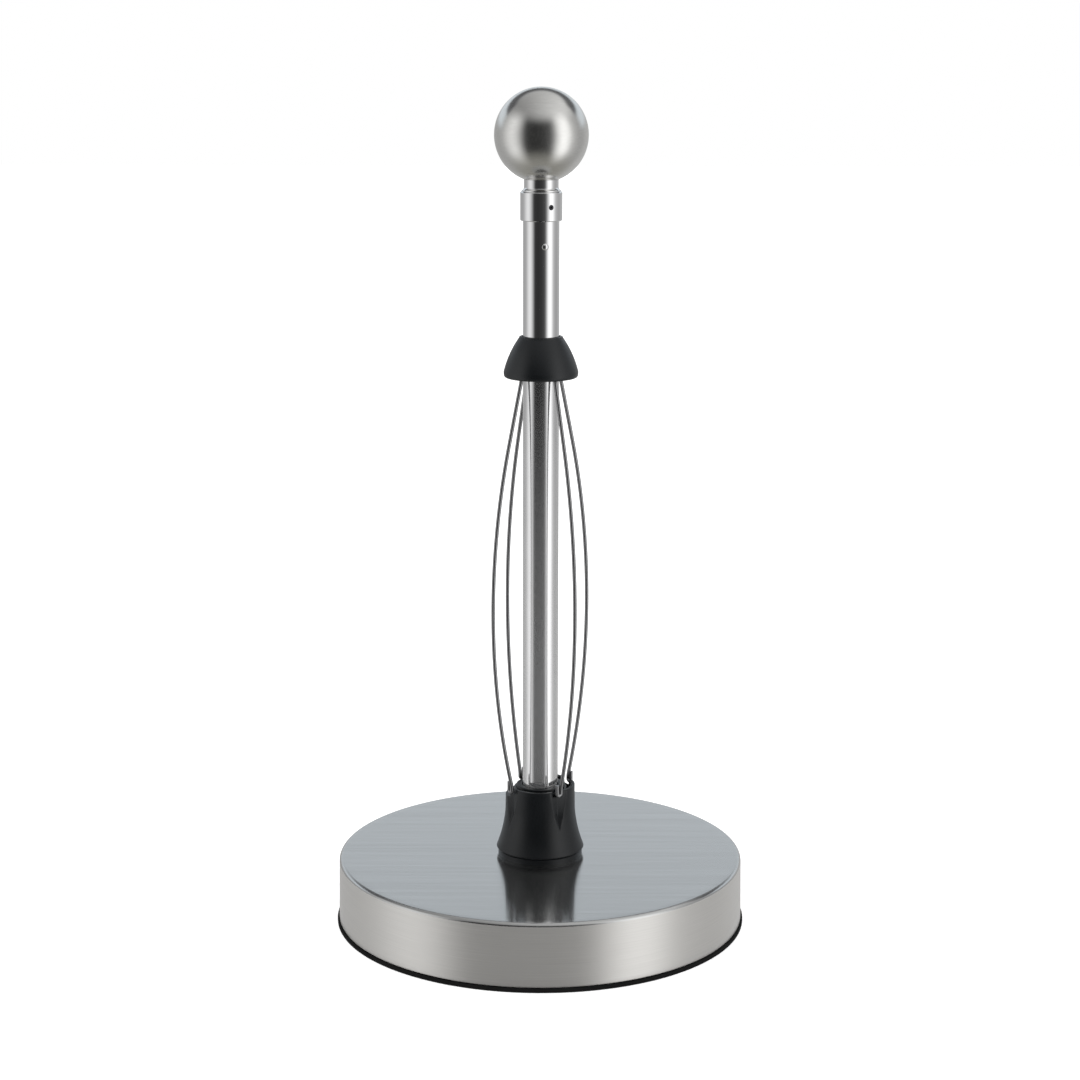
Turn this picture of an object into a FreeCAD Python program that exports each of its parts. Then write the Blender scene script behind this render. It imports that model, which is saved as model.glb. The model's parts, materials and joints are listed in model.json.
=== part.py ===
import FreeCAD, Part
import math
import os

# Upright paper towel holder: a weighted round base, a polished pole with a ball finial, and a
# four-wire spring cage that grips the cardboard core and turns with it against a light ratchet.
# Millimetres. +Z is up, -Y is the front, and the origin is the middle of the underside.

V = FreeCAD.Vector
UP = V(0, 0, 1)
CENTRE = V(0, 0, 0)

# ---- driving dimensions -------------------------------------------------------------------
PAD_R = 91.0                # non-slip sheet under the base
PAD_T = 2.0
COVER_TOP_R = 89.8          # pressed steel cover, drawn with a little draft
COVER_FOOT_R = 90.1
COVER_EDGE = 1.8            # radius round the top edge
SHEET = 0.8
BASE_TOP = 30.0             # the pole and the cage stand on this level

POLE_R = 7.8
POLE_BORE_R = 6.6
POLE_END = 322.6
COLLAR_FOOT = 311.6
COLLAR_R = 9.0
NECK_R = 7.4
NECK_TOP = 329.4
BALL_R = 20.0
BALL_Z = 347.5
BALL_WALL = 1.0

HUB_TOP = 62.0
HUB_TOP_R = 15.4
HUB_WAIST_Z = 51.0
HUB_SKIRT_R = 19.5
HUB_SKIRT_Z = 32.7
RING_R = 18.7               # fixed ring that the skirt runs over
RING_TOP = 32.4
TEETH = 24
TOOTH_H = 1.2

CAGE_TURN = 35.8            # degrees from the front to the first wire
WIRE_R = 0.85
WIRE_FOOT_R = 15.5
WIRE_FOOT_BEND = 63.2
WIRE_BELLY_R = 25.3
WIRE_BELLY_Z = 142.5
WIRE_TILT = 13.2            # degrees, both ends of the bow
WIRE_TOP_R = 10.0
WIRE_TOP = 254.0
BEND_R = 12.0
HAIRPIN_R = 1.0
HAIRPIN_TIP = 65.2

BELL_FOOT = 244.6
BELL_TOP = 262.3
BELL_R = 16.0
BELL_NECK_R = 9.5
BELL_WALL = 1.4

RUN = 0.07                  # running clearance of a bush on the pole
GAP = 0.3                   # clearance of parts that only pass each other
FIT = 0.04                  # clearance of parts that sit together


# ---- helpers ------------------------------------------------------------------------------
def on_axis(height):
    return V(0, 0, height)


def outward(azimuth):
    """Unit vector that points out from the pole, azimuth degrees from the front towards +X."""
    turn = math.radians(azimuth)
    return V(math.sin(turn), -math.cos(turn), 0)


def place(radius, azimuth, height):
    return outward(azimuth) * radius + on_axis(height)


def outline(points):
    """Closed wire in the XZ plane: (r, z) ends a line, ((r, z), (r, z)) is an arc's middle and end."""
    edges = []
    here = points[0]
    for step in points[1:] + [points[0]]:
        arc = isinstance(step[0], tuple)
        end = step[1] if arc else step
        if arc:
            middle = step[0]
            bend = Part.Arc(V(here[0], 0, here[1]), V(middle[0], 0, middle[1]), V(end[0], 0, end[1]))
            edges.append(bend.toShape())
        else:
            edges.append(Part.makeLine(V(here[0], 0, here[1]), V(end[0], 0, end[1])))
        here = end
    return Part.Wire(edges)


def turned(points):
    return Part.Face(outline(points)).revolve(CENTRE, UP, 360)


def rod(radius, low, high, spot=CENTRE):
    return Part.makeCylinder(radius, high - low, spot + on_axis(low), UP)


def ring(inner, outer, low, high):
    return rod(outer, low, high).cut(rod(inner, low - 1, high + 1))


def cross_rod(radius, azimuth, height, start, end):
    """Rod along a radius, from start to end out from the pole's axis."""
    return Part.makeCylinder(radius, end - start, place(start, azimuth, height), outward(azimuth))


def screw(radius, head_radius, head_height, top, bottom, spot):
    """Countersunk screw with a cross-shaped drive, head at the top."""
    head = Part.makeCone(radius, head_radius, head_height, spot + on_axis(top - head_height), UP)
    body = rod(radius, bottom, top - head_height, spot).fuse(head)
    slot_depth = head_height * 0.5
    slot_long = head_radius * 1.2
    slot_wide = head_radius * 0.25
    for turn in (0, 90):
        slot = Part.makeBox(slot_long, slot_wide, slot_depth)
        slot.translate(V(-slot_long / 2, -slot_wide / 2, 0))
        slot.rotate(CENTRE, UP, turn)
        slot.translate(spot + on_axis(top - slot_depth))
        body = body.cut(slot)
    return body


def flipped(shape, level):
    """Turn a shape over about a horizontal line at the given level."""
    copy = shape.copy()
    copy.rotate(on_axis(level), V(1, 0, 0), 180)
    return copy


nodes = {}


# ---- base ---------------------------------------------------------------------------------
PLATE_T = 1.5
PLATE_LOW = PAD_T
PLATE_TOP = PLATE_LOW + PLATE_T
WEIGHT_R = 84.0
WEIGHT_T = 10.0
WEIGHT_CHAMFER = 2.0
WEIGHT_TOP = BASE_TOP - SHEET
WEIGHT_LOW = WEIGHT_TOP - WEIGHT_T
BOSS_R = 7.0
BOSS_CIRCLE = 66.0
BOSS_ANGLES = (0, 120, 240)
BOLT_R = 4.0
BOLT_HOLE_R = 4.25
BOLT_HEAD_H = 5.3
BOLT_HEAD_ACROSS = 13.0
BOLT_END = 52.0
WASHER_T = 1.6
WASHER_R = 10.0
RING_SCREW_CIRCLE = 16.2
RING_SCREW_ANGLES = (60, 180, 300)
RING_SCREW_R = 1.25
RING_SCREW_END = 23.0


def base_cover():
    corner = COVER_TOP_R - COVER_EDGE
    inner_edge = COVER_EDGE - SHEET
    out_mid = corner + COVER_EDGE * math.sqrt(0.5)
    out_mid_z = BASE_TOP - COVER_EDGE + COVER_EDGE * math.sqrt(0.5)
    in_mid = corner + inner_edge * math.sqrt(0.5)
    in_mid_z = BASE_TOP - COVER_EDGE + inner_edge * math.sqrt(0.5)
    shell = turned([
        (BOLT_HOLE_R, BASE_TOP),
        (corner, BASE_TOP),
        ((out_mid, out_mid_z), (COVER_TOP_R, BASE_TOP - COVER_EDGE)),
        (COVER_FOOT_R, PAD_T),
        (COVER_FOOT_R - SHEET, PAD_T),
        (COVER_TOP_R - SHEET, BASE_TOP - COVER_EDGE),
        ((in_mid, in_mid_z), (corner, BASE_TOP - SHEET)),
        (BOLT_HOLE_R, BASE_TOP - SHEET),
    ])
    for angle in RING_SCREW_ANGLES:
        hole_spot = outward(angle) * RING_SCREW_CIRCLE
        shell = shell.cut(rod(RING_SCREW_R + FIT, BASE_TOP - 2 * SHEET, BASE_TOP + 1, hole_spot))
    return shell


def base_weight():
    disc = turned([
        (BOLT_HOLE_R, WEIGHT_LOW),
        (BOLT_HOLE_R, WEIGHT_TOP),
        (WEIGHT_R, WEIGHT_TOP),
        (WEIGHT_R, WEIGHT_LOW + WEIGHT_CHAMFER),
        (WEIGHT_R - WEIGHT_CHAMFER, WEIGHT_LOW),
    ])
    for angle in BOSS_ANGLES:
        spot = outward(angle) * BOSS_CIRCLE
        disc = disc.fuse(rod(BOSS_R, PLATE_TOP, WEIGHT_LOW, spot))
        disc = disc.cut(rod(PLATE_SCREW_R + FIT, PLATE_TOP - 1, PLATE_SCREW_END + 1, spot))
    for angle in RING_SCREW_ANGLES:
        spot = outward(angle) * RING_SCREW_CIRCLE
        disc = disc.cut(rod(RING_SCREW_R + FIT, RING_SCREW_END - 1, WEIGHT_TOP + 1, spot))
    return disc


PLATE_R = COVER_FOOT_R - SHEET - 0.2
PLATE_HOLE_R = 14.0
PLATE_SCREW_R = 2.0
PLATE_SCREW_HEAD_R = 3.6
PLATE_SCREW_END = 13.0


def plate_screw(angle):
    """Countersunk screw, head down, flush with the underside of the plate."""
    spot = outward(angle) * BOSS_CIRCLE
    length = PLATE_SCREW_END - PLATE_LOW
    upright = screw(PLATE_SCREW_R, PLATE_SCREW_HEAD_R, PLATE_T, 0, -length, CENTRE)
    upside_down = flipped(upright, 0)
    upside_down.translate(spot + on_axis(PLATE_LOW))
    return upside_down


def base_plate():
    plate = ring(PLATE_HOLE_R, PLATE_R, PLATE_LOW, PLATE_TOP)
    for angle in BOSS_ANGLES:
        spot = outward(angle) * BOSS_CIRCLE
        low_spot = spot + on_axis(PLATE_LOW)
        sink = Part.makeCone(PLATE_SCREW_HEAD_R + FIT, PLATE_SCREW_R + FIT, PLATE_T, low_spot, UP)
        plate = plate.cut(sink)
    return plate


def hex_prism(across, low, high):
    corner = across / math.sqrt(3)
    points = []
    for side in range(7):
        turn = math.radians(60 * side)
        points.append(V(corner * math.cos(turn), corner * math.sin(turn), low))
    return Part.Face(Part.makePolygon(points)).extrude(V(0, 0, high - low))


def pole_bolt():
    head_top = WEIGHT_LOW - WASHER_T
    head = hex_prism(BOLT_HEAD_ACROSS, head_top - BOLT_HEAD_H, head_top)
    return rod(BOLT_R, head_top, BOLT_END).fuse(head)


nodes["base_cover"] = base_cover()
nodes["base_weight"] = base_weight()
nodes["base_plate"] = base_plate()
nodes["plate_screws"] = Part.makeCompound([plate_screw(angle) for angle in BOSS_ANGLES])
nodes["base_pad"] = rod(PAD_R, 0, PAD_T)
nodes["pole_bolt"] = pole_bolt()
nodes["bolt_washer"] = ring(BOLT_R + 0.2, WASHER_R, WEIGHT_LOW - WASHER_T, WEIGHT_LOW)

# ---- pole ---------------------------------------------------------------------------------
FOOT_PLUG_TOP = 56.0
TOP_PLUG_LOW = 290.0
RIVET_Z = 301.0
RIVET_AZIMUTH = 13.0
RIVET_R = 1.1
RIVET_HEAD_R = 1.45
RIVET_DOME = 0.6
CLIP_Z = 58.4
CLIP_T = 0.8
CLIP_DEPTH = 0.4
CLIP_R = 10.0
CLIP_MOUTH = 8.0
STUD_R = 3.0
STUD_LOW = 304.0
STUD_TOP = 341.0
COLLAR_SCREW_Z = 317.6
COLLAR_SCREW_AZIMUTH = 28.0
COLLAR_SCREW_R = 1.1
COLLAR_SCREW_SOCKET_R = 0.5
BALL_BOSS_R = 6.0
BALL_BOSS_H = 9.0


def pole_tube():
    tube = ring(POLE_BORE_R, POLE_R, BASE_TOP, POLE_END)
    groove = ring(POLE_R - CLIP_DEPTH, POLE_R + 1, CLIP_Z - 0.05, CLIP_Z + CLIP_T + 0.05)
    rivet_hole = cross_rod(RIVET_R + FIT, RIVET_AZIMUTH, RIVET_Z, POLE_BORE_R - 1, POLE_R + 1)
    return tube.cut(groove).cut(rivet_hole)


def pole_foot_plug():
    plug = rod(POLE_BORE_R - FIT, BASE_TOP, FOOT_PLUG_TOP)
    return plug.cut(rod(BOLT_R + FIT, BASE_TOP - 1, BOLT_END + 1))


def pole_top_plug():
    plug = rod(POLE_BORE_R - FIT, TOP_PLUG_LOW, POLE_END)
    plug = plug.cut(rod(STUD_R + FIT, STUD_LOW - 1, POLE_END + 1))
    return plug.cut(cross_rod(RIVET_R + FIT, RIVET_AZIMUTH, RIVET_Z, 1.0, POLE_R))


def plug_rivet():
    shank = cross_rod(RIVET_R, RIVET_AZIMUTH, RIVET_Z, 1.5, POLE_R)
    dome_r = (RIVET_HEAD_R ** 2 + RIVET_DOME ** 2) / (2 * RIVET_DOME)
    centre = place(POLE_R + RIVET_DOME - dome_r, RIVET_AZIMUTH, RIVET_Z)
    dome = Part.makeSphere(dome_r, centre)
    outer_side = cross_rod(RIVET_HEAD_R, RIVET_AZIMUTH, RIVET_Z, POLE_R - 0.3, POLE_R + 2)
    head = dome.common(outer_side).cut(rod(POLE_R, RIVET_Z - 5, RIVET_Z + 5))
    return shank.fuse(head).removeSplitter()


def finial_collar():
    seat_z = BALL_Z - math.sqrt(BALL_R ** 2 - NECK_R ** 2)
    mid = NECK_R * 0.75
    mid_z = BALL_Z - math.sqrt((BALL_R + FIT) ** 2 - mid ** 2)
    inner_z = BALL_Z - math.sqrt((BALL_R + FIT) ** 2 - (STUD_R + FIT) ** 2)
    body = turned([
        (STUD_R + FIT, POLE_END + FIT),
        (STUD_R + FIT, inner_z),
        ((mid, mid_z), (NECK_R, seat_z - FIT)),
        (NECK_R, 325.6),
        ((NECK_R + 0.3, 324.9), (NECK_R + 1.0, 324.4)),
        (NECK_R + 1.0, 324.0),
        ((COLLAR_R - 0.15, 323.7), (COLLAR_R, 323.0)),
        (COLLAR_R, COLLAR_FOOT + 0.3),
        (COLLAR_R - 0.3, COLLAR_FOOT),
        (POLE_R + FIT, COLLAR_FOOT),
        (POLE_R + FIT, POLE_END + FIT),
    ])
    hole = cross_rod(COLLAR_SCREW_R + FIT, COLLAR_SCREW_AZIMUTH, COLLAR_SCREW_Z, POLE_R - 1, COLLAR_R + 1)
    return body.cut(hole)


def collar_screw():
    tip = POLE_R + FIT
    end = COLLAR_R - 0.25
    body = cross_rod(COLLAR_SCREW_R, COLLAR_SCREW_AZIMUTH, COLLAR_SCREW_Z, tip, end)
    socket = cross_rod(COLLAR_SCREW_SOCKET_R, COLLAR_SCREW_AZIMUTH, COLLAR_SCREW_Z, end - 0.6, end + 1)
    bore = rod(tip, COLLAR_FOOT, POLE_END)
    return body.cut(socket).cut(bore)


def finial_ball():
    """Spun steel shell, closed but for the hole that the stud goes through."""
    outside = Part.makeSphere(BALL_R, on_axis(BALL_Z))
    inside = Part.makeSphere(BALL_R - BALL_WALL, on_axis(BALL_Z))
    low = BALL_Z - BALL_R
    return outside.cut(inside).cut(rod(STUD_R + GAP, low - 1, low + 3))


def ball_boss():
    """Threaded boss welded inside the ball, shaped underneath to the shell's curve."""
    low = BALL_Z - BALL_R + BALL_WALL
    boss = ring(STUD_R + FIT, BALL_BOSS_R, low - 1, low + BALL_BOSS_H)
    return boss.common(Part.makeSphere(BALL_R - BALL_WALL, on_axis(BALL_Z)))


nodes["pole_tube"] = pole_tube()
nodes["pole_foot_plug"] = pole_foot_plug()
nodes["pole_top_plug"] = pole_top_plug()
nodes["plug_rivet"] = plug_rivet()
nodes["finial_collar"] = finial_collar()
nodes["collar_screw"] = collar_screw()
nodes["finial_stud"] = rod(STUD_R, STUD_LOW, STUD_TOP)
nodes["finial_ball"] = finial_ball()
nodes["ball_boss"] = ball_boss()

# ---- ratchet ring, fixed on the base ------------------------------------------------------
RING_BORE_R = POLE_R + 0.2
TOOTH_IN_R = 10.0
TOOTH_OUT_R = 13.8
TOOTH_TOP = RING_TOP + TOOTH_H
VALLEY_Z = RING_TOP + 0.2
VALLEY_HALF = 1.2


def ratchet_ring():
    """Flat ring with a crown of V-shaped valleys, one to each tooth, that the plungers drop into."""
    body = turned([
        (RING_BORE_R, BASE_TOP),
        (RING_BORE_R, TOOTH_TOP),
        (TOOTH_OUT_R, TOOTH_TOP),
        (TOOTH_OUT_R, RING_TOP),
        (RING_R - 0.3, RING_TOP),
        (RING_R, RING_TOP - 0.3),
        (RING_R, BASE_TOP),
    ])
    for tooth in range(TEETH):
        lip = TOOTH_TOP + 0.2
        lip_half = VALLEY_HALF * (lip - VALLEY_Z) / (TOOTH_TOP - VALLEY_Z)
        valley = Part.makePolygon([
            V(TOOTH_IN_R, 0, VALLEY_Z),
            V(TOOTH_IN_R, lip_half, lip),
            V(TOOTH_IN_R, -lip_half, lip),
            V(TOOTH_IN_R, 0, VALLEY_Z),
        ])
        cutter = Part.Face(valley).extrude(V(TOOTH_OUT_R - TOOTH_IN_R + 1, 0, 0))
        cutter.rotate(CENTRE, UP, 360 * tooth / TEETH)
        body = body.cut(cutter)
    for angle in RING_SCREW_ANGLES:
        spot = outward(angle) * RING_SCREW_CIRCLE
        body = body.cut(rod(RING_SCREW_R + FIT, BASE_TOP - 1, RING_TOP + 1, spot))
        sink = Part.makeCone(RING_SCREW_R + FIT, RING_SCREW_HEAD_R + FIT, RING_SCREW_HEAD_H,
                             spot + on_axis(RING_TOP - RING_SCREW_HEAD_H), UP)
        body = body.cut(sink)
    return body


RING_SCREW_HEAD_R = 2.2
RING_SCREW_HEAD_H = 1.2


def ring_screw(angle):
    spot = outward(angle) * RING_SCREW_CIRCLE
    return screw(RING_SCREW_R, RING_SCREW_HEAD_R, RING_SCREW_HEAD_H, RING_TOP, RING_SCREW_END, spot)


def retaining_clip():
    """Open spring ring that snaps into the pole's groove."""
    clip = ring(POLE_R - CLIP_DEPTH + FIT, CLIP_R, CLIP_Z, CLIP_Z + CLIP_T)
    mouth = Part.makeBox(CLIP_R, CLIP_MOUTH, CLIP_T + 2)
    mouth.translate(V(0, -CLIP_MOUTH / 2, CLIP_Z - 1))
    mouth.rotate(CENTRE, UP, 90)
    return clip.cut(mouth)


nodes["ratchet_ring"] = ratchet_ring()
nodes["ring_screws"] = Part.makeCompound([ring_screw(angle) for angle in RING_SCREW_ANGLES])
nodes["retaining_clip"] = retaining_clip()

# ---- turning hub --------------------------------------------------------------------------
CORE_R = 11.7
CORE_FLANGE_R = 13.95
CORE_SHOULDER = 47.0
CORE_LOW = 37.0
CORE_TOP = 60.6
BUSH_R = 9.2
BUSH_LOW = 34.2
BUSH_TOP = 57.2
THRUST_R = 10.4
WASHER_TOP = 58.1
CAP_LOW = 59.6
CAP_R = 10.7
WALL_IN_R = 13.7            # inside of the rim; the recess between the rim and the core is open
RECESS_FLOOR = 57.6
NOTCH_HALF = 2.2
NOTCH_FLOOR = 60.4 - WIRE_R
LOW_LOBE_FROM = 65.0        # degrees left of the front
LOW_LOBE_TO = 141.0
PLUNGER_CIRCLE = 11.8
PLUNGER_R = 1.5
PLUNGER_TIP_H = 1.25
PLUNGER_LOW = VALLEY_Z + 0.2
PLUNGER_TOP = 40.5
POCKET_TOP = 45.6
PLUNGER_ANGLES = {"a": 90.0, "b": 270.0}
SPRING_WIRE_R = 0.2
SPRING_R = 1.1
WIRE_ANGLES = [CAGE_TURN + 90 * quarter for quarter in range(4)]
# The flute's V by level: level, radius of its bottom line, radius of the hub, half width.
FLUTE_SECTIONS = [(HUB_TOP + 1, 14.1, 15.4, 5.2), (50.0, 14.25, 15.5, 2.2), (41.8, 16.95, 17.0, 0.15)]


def turned_to(shape, azimuth):
    """Turn a shape that was made along +X so that it points out at the azimuth."""
    shape.rotate(CENTRE, UP, azimuth - 90)
    return shape


def notch(azimuth):
    """Block that opens the rim where a wire's hairpin foot sits."""
    block = Part.makeBox(10.0, 2 * NOTCH_HALF, HUB_TOP - NOTCH_FLOOR + 1)
    block.translate(V(CORE_R + 1, -HAIRPIN_R - NOTCH_HALF, NOTCH_FLOOR))
    return turned_to(block, azimuth)


def flute(azimuth):
    """V-shaped hollow under each notch that narrows to a point down the flank."""
    sections = []
    for level, bottom_r, hub_r, half in FLUTE_SECTIONS:
        edge_x = math.sqrt(hub_r ** 2 - half ** 2)
        past = 1.0 + 0.5 / (edge_x - bottom_r)
        lip_x = bottom_r + (edge_x - bottom_r) * past
        lip_y = half * past
        far_x = hub_r + 4.0
        corners = [(bottom_r, 0), (lip_x, lip_y), (far_x, lip_y), (far_x, -lip_y), (lip_x, -lip_y)]
        corners.append(corners[0])
        sections.append(Part.makePolygon([V(x, y - HAIRPIN_R, level) for x, y in corners]))
    return turned_to(Part.makeLoft(sections, True, True), azimuth)


def low_lobe():
    """Part of the rim that is cut down, between the two wires on the left."""
    face = Part.Face(outline([
        (CORE_R, RECESS_FLOOR),
        (HUB_TOP_R + 5, RECESS_FLOOR),
        (HUB_TOP_R + 5, HUB_TOP + 5),
        (CORE_R, HUB_TOP + 5),
    ]))
    wedge = face.revolve(CENTRE, UP, LOW_LOBE_TO - LOW_LOBE_FROM)
    wedge.rotate(CENTRE, UP, -90 - LOW_LOBE_TO)
    return wedge


def hub_shell():
    body = turned([
        (CORE_R + FIT, RECESS_FLOOR),
        (WALL_IN_R, RECESS_FLOOR),
        (WALL_IN_R, HUB_TOP),
        (HUB_TOP_R - 0.4, HUB_TOP),
        ((HUB_TOP_R - 0.12, HUB_TOP - 0.12), (HUB_TOP_R, HUB_TOP - 0.4)),
        (HUB_TOP_R + 0.1, HUB_WAIST_Z),
        ((16.95, 41.3), (HUB_SKIRT_R, HUB_SKIRT_Z + 0.5)),
        (HUB_SKIRT_R - 0.5, HUB_SKIRT_Z),
        (HUB_SKIRT_R - 1.9, HUB_SKIRT_Z),
        (CORE_FLANGE_R + 1.0, CORE_LOW + 1.0),
        (CORE_FLANGE_R + FIT, CORE_LOW + 3.0),
        (CORE_FLANGE_R + FIT, CORE_SHOULDER),
        (CORE_R + FIT, CORE_SHOULDER),
    ])
    for azimuth in WIRE_ANGLES:
        body = body.cut(flute(azimuth))
        body = body.cut(notch(azimuth))
    return body.cut(low_lobe())


def hub_core():
    body = turned([
        (BUSH_R + FIT, CORE_LOW),
        (CORE_FLANGE_R, CORE_LOW),
        (CORE_FLANGE_R, CORE_SHOULDER),
        (CORE_R, CORE_SHOULDER),
        (CORE_R, CORE_TOP),
        (CAP_R + FIT, CORE_TOP),
        (CAP_R + FIT, BUSH_TOP),
        (BUSH_R + FIT, BUSH_TOP),
    ])
    for angle in PLUNGER_ANGLES.values():
        spot = outward(angle) * PLUNGER_CIRCLE
        body = body.cut(rod(PLUNGER_R + RUN, CORE_LOW - 1, POCKET_TOP, spot))
    return body


def detent_plunger(angle):
    spot = outward(angle) * PLUNGER_CIRCLE
    tip = Part.makeCone(0.15, PLUNGER_R, PLUNGER_TIP_H, spot + on_axis(PLUNGER_LOW), UP)
    return rod(PLUNGER_R, PLUNGER_LOW + PLUNGER_TIP_H, PLUNGER_TOP, spot).fuse(tip)


def detent_spring(angle):
    """Small coil spring between the plunger and the top of its pocket."""
    low = PLUNGER_TOP + SPRING_WIRE_R + 0.02
    high = POCKET_TOP - SPRING_WIRE_R - 0.02
    pitch = (high - low) / 5
    path = Part.makeHelix(pitch, high - low, SPRING_R)
    profile = Part.Wire(Part.makeCircle(SPRING_WIRE_R, V(SPRING_R, 0, 0), V(0, 1, 0)))
    coil = path.makePipeShell([profile], True, True)
    coil.translate(outward(angle) * PLUNGER_CIRCLE + on_axis(low))
    return coil


def cage_wire(azimuth):
    """Bowed spring wire: hairpin foot in the hub, belly in the middle, straight end in the bell."""
    tilt = math.radians(WIRE_TILT)
    rise = WIRE_BELLY_Z - WIRE_FOOT_BEND
    swell = WIRE_BELLY_R - WIRE_FOOT_R
    bow_r = (rise * math.tan(tilt) - swell) / (math.sin(tilt) * math.tan(tilt) - (1 - math.cos(tilt)))
    out = outward(azimuth)
    side = UP.cross(out)

    def at(radius, height, across=0.0):
        return out * radius + side * across + on_axis(height)

    def bow(angle):
        return at(WIRE_BELLY_R - bow_r * (1 - math.cos(angle)), WIRE_BELLY_Z + bow_r * math.sin(angle))

    def soft_bend(corner_r, corner_z, straight_sign):
        """Ends and middle of an arc between an upright leg and a leaning one."""
        reach = BEND_R * math.tan(tilt / 2)
        upright = at(corner_r, corner_z + straight_sign * reach)
        leaning = at(corner_r + reach * math.sin(tilt), corner_z - straight_sign * reach * math.cos(tilt))
        chord = (upright + leaning) * 0.5
        inset = BEND_R * (1 - math.cos(tilt / 2))
        away = (at(corner_r, corner_z) - chord).normalize()
        return upright, chord + away * inset, leaning

    end_of_bow_r = WIRE_BELLY_R - bow_r * (1 - math.cos(tilt))
    top_corner_z = WIRE_BELLY_Z + bow_r * math.sin(tilt) + (end_of_bow_r - WIRE_TOP_R) / math.tan(tilt)
    foot_up, foot_mid, foot_lean = soft_bend(WIRE_FOOT_R, WIRE_FOOT_BEND, -1)
    top_up, top_mid, top_lean = soft_bend(WIRE_TOP_R, top_corner_z, 1)
    pin_z = NOTCH_FLOOR + WIRE_R + HAIRPIN_R
    leg = -2 * HAIRPIN_R
    edges = [
        Part.makeLine(at(WIRE_FOOT_R, HAIRPIN_TIP, leg), at(WIRE_FOOT_R, pin_z, leg)),
        Part.Arc(at(WIRE_FOOT_R, pin_z, leg), at(WIRE_FOOT_R, pin_z - HAIRPIN_R, leg / 2),
                 at(WIRE_FOOT_R, pin_z)).toShape(),
        Part.makeLine(at(WIRE_FOOT_R, pin_z), foot_up),
        Part.Arc(foot_up, foot_mid, foot_lean).toShape(),
        Part.makeLine(foot_lean, bow(-tilt)),
        Part.Arc(bow(-tilt), bow(0), bow(tilt)).toShape(),
        Part.makeLine(bow(tilt), top_lean),
        Part.Arc(top_lean, top_mid, top_up).toShape(),
        Part.makeLine(top_up, at(WIRE_TOP_R, WIRE_TOP)),
    ]
    path = Part.Wire(edges)
    section = Part.Wire(Part.makeCircle(WIRE_R, at(WIRE_FOOT_R, HAIRPIN_TIP, leg), UP))
    wire = path.makePipeShell([section], True, False)
    ideal = path.Length * math.pi * WIRE_R ** 2
    print("wire at", azimuth, "length", round(path.Length, 1), "volume ratio", round(wire.Volume / ideal, 4))
    return wire


nodes["hub_shell"] = hub_shell()
nodes["hub_core"] = hub_core()
nodes["hub_bushing"] = ring(POLE_R + RUN, BUSH_R, BUSH_LOW, BUSH_TOP)
nodes["thrust_washer"] = ring(POLE_R + RUN, THRUST_R, BUSH_TOP, WASHER_TOP)
nodes["hub_cap"] = ring(POLE_R + GAP, CAP_R, CAP_LOW, HUB_TOP)
for letter, angle in PLUNGER_ANGLES.items():
    nodes["detent_plunger_" + letter] = detent_plunger(angle)
    nodes["detent_spring_" + letter] = detent_spring(angle)
for number, azimuth in enumerate(WIRE_ANGLES, start=1):
    nodes["cage_wire_" + str(number)] = cage_wire(azimuth)

# ---- sliding bell -------------------------------------------------------------------------
INSERT_LOW = 249.6
INSERT_TOP = 255.8
SOCKET_R = WIRE_R + RUN
SOCKET_TOP = 255.4


def bell_shell():
    return turned([
        (POLE_R + GAP, BELL_TOP),
        (BELL_NECK_R - 0.4, BELL_TOP),
        (BELL_NECK_R, BELL_TOP - 0.6),
        ((13.4, 254.9), (BELL_R, BELL_FOOT + 2.4)),
        ((BELL_R - 0.1, BELL_FOOT + 0.8), (BELL_R - 0.9, BELL_FOOT)),
        (BELL_R - BELL_WALL - 0.3, BELL_FOOT),
        (BELL_R - BELL_WALL, BELL_FOOT + 2.4),
        (12.6, INSERT_LOW + 2.0),
        (11.4, INSERT_TOP),
        (POLE_R + GAP, 260.2),
    ])


def bell_insert():
    body = turned([
        (POLE_R + RUN, INSERT_LOW),
        (12.5, INSERT_LOW),
        (12.55, INSERT_LOW + 2.0),
        (11.35, INSERT_TOP),
        (POLE_R + RUN, INSERT_TOP),
    ])
    for azimuth in WIRE_ANGLES:
        spot = outward(azimuth) * WIRE_TOP_R
        body = body.cut(rod(SOCKET_R, INSERT_LOW - 1, SOCKET_TOP, spot))
    return body


nodes["bell_shell"] = bell_shell()
nodes["bell_insert"] = bell_insert()

# ---- write one file per piece -------------------------------------------------------------
os.makedirs("parts", exist_ok=True)
for name, shape in nodes.items():
    if not shape.isValid():
        print("not valid:", name)
    shape.exportStep("parts/" + name + ".step")
print(len(nodes), "pieces written")
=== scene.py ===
import json
import math

import bmesh
import bpy
from mathutils import Matrix, Vector


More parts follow.
